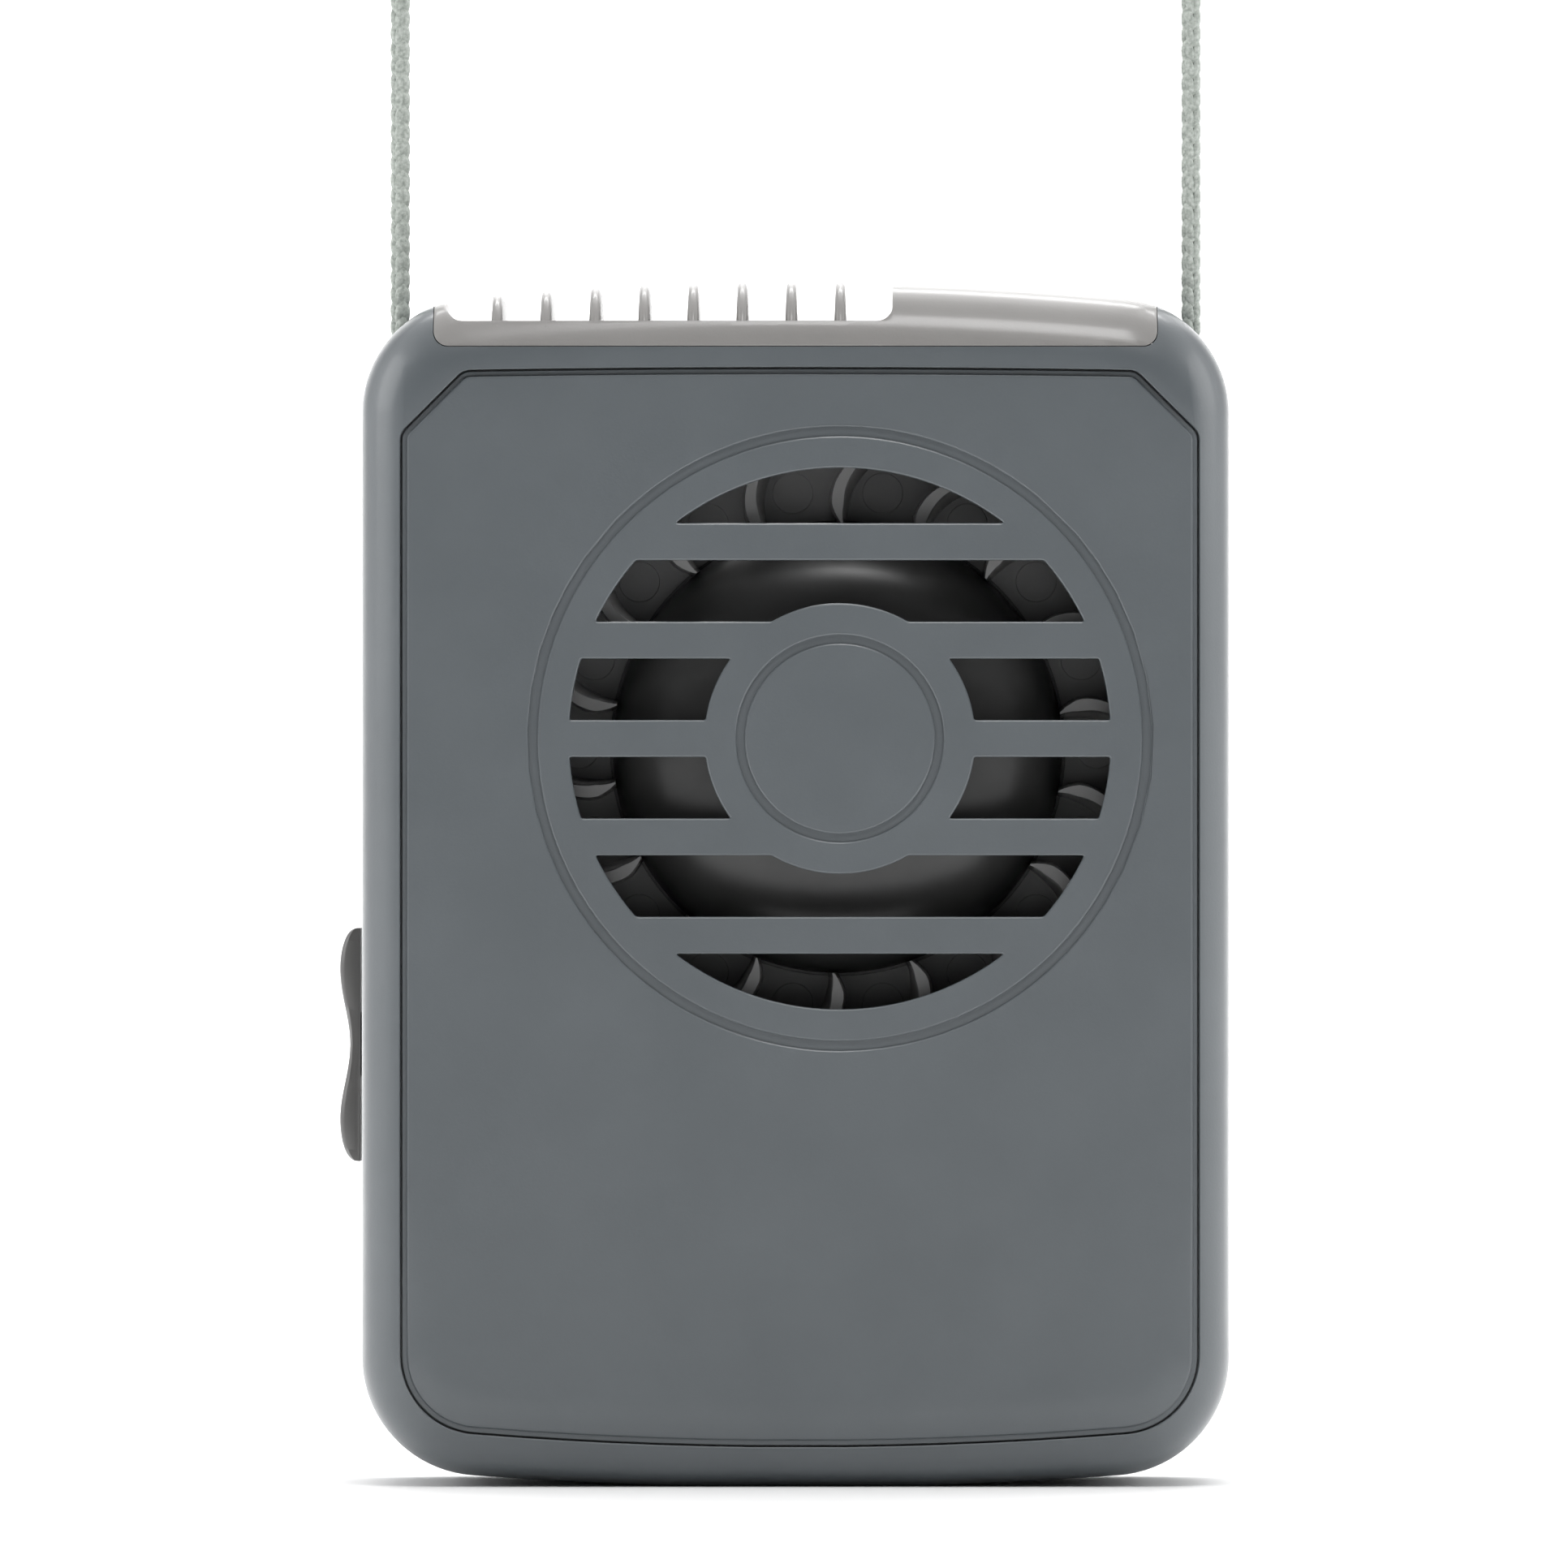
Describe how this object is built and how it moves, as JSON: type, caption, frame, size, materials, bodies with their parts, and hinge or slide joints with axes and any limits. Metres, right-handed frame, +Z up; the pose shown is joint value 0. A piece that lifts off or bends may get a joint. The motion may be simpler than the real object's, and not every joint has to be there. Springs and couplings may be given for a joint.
{
  "type": "necklace fan",
  "caption": "Slim battery blower worn on a neck cord: slotted round inlet in front, finned outlet on top, slide switch on the side and a battery door behind.",
  "frame": {"origin": "middle of the flat sole that it stands on", "axes": "+Z up, -Y out of the grille, +X to the right of someone who faces the grille"},
  "size_m": [0.0845, 0.0365, 0.1535],
  "materials": {
    "body_abs": "satin, spark-eroded texture",
    "vent_abs": "satin, spark-eroded texture",
    "knob_abs": "satin",
    "impeller_abs": "smooth moulded",
    "inner_abs": "plain moulded",
    "clasp_abs": "satin",
    "zinc_steel": "zinc plated",
    "nickel_steel": "nickel plated",
    "bronze": "sintered",
    "copper": "enamelled winding",
    "ferrite": "pressed and sintered",
    "white_nylon": "moulded",
    "black_nylon": "moulded",
    "cell_sleeve": "heat-shrunk sleeve",
    "resistor_lacquer": "lacquered",
    "red_pvc": "extruded insulation",
    "black_pvc": "extruded insulation",
    "cord_braid": "knitted polyester"
  },
  "bodies": {
    "root": {"front_shell": "body_abs", "rear_shell": "body_abs", "front_panel": "body_abs", "outlet_vent": "vent_abs", "scroll_housing": "inner_abs", "battery_tray": "inner_abs", "motor_can": "zinc_steel", "switch_body": "zinc_steel", "shell_screw_1": "zinc_steel", "shell_screw_2": "zinc_steel", "shell_screw_3": "zinc_steel", "shell_screw_4": "zinc_steel", "motor_bushing": "bronze", "motor_end_cap": "white_nylon", "motor_magnet_left": "ferrite", "motor_magnet_right": "ferrite", "motor_terminal_positive": "nickel_steel", "motor_terminal_negative": "nickel_steel", "battery_upper": "cell_sleeve", "battery_lower": "cell_sleeve", "contact_positive": "nickel_steel", "contact_negative": "nickel_steel", "contact_bridge": "nickel_steel", "contact_spring_lower": "nickel_steel", "contact_spring_upper": "nickel_steel", "switch_pin_1": "nickel_steel", "switch_pin_2": "nickel_steel", "switch_pin_3": "nickel_steel", "speed_resistor": "resistor_lacquer", "wire_battery_positive": "red_pvc", "wire_motor_feed": "red_pvc", "wire_battery_negative": "black_pvc", "cord_left": "cord_braid", "cord_right": "cord_braid", "cord_knot_left": "cord_braid", "cord_knot_right": "cord_braid", "clasp_socket": "clasp_abs", "clasp_plug": "clasp_abs"},
    "rotor": {"impeller": "impeller_abs", "motor_shaft": "zinc_steel", "motor_armature": "copper"},
    "slider": {"switch_knob": "knob_abs", "switch_lever": "black_nylon"},
    "door": {"battery_door": "body_abs"}
  },
  "joints": [
    {"name": "impeller_spin", "type": "hinge", "parent": "root", "child": "rotor", "pos_m": [0.004, 0, 0.0699], "axis": [0, 1, 0], "continuous": true},
    {"name": "switch_slide", "type": "slide", "parent": "root", "child": "slider", "axis": [0, 0, 1], "range_m": [0, 0.004]},
    {"name": "battery_door_hinge", "type": "hinge", "parent": "root", "child": "door", "pos_m": [0, 0.0184, 0.0076], "axis": [-1, 0, 0], "range_deg": [0, 95]}
  ]
}
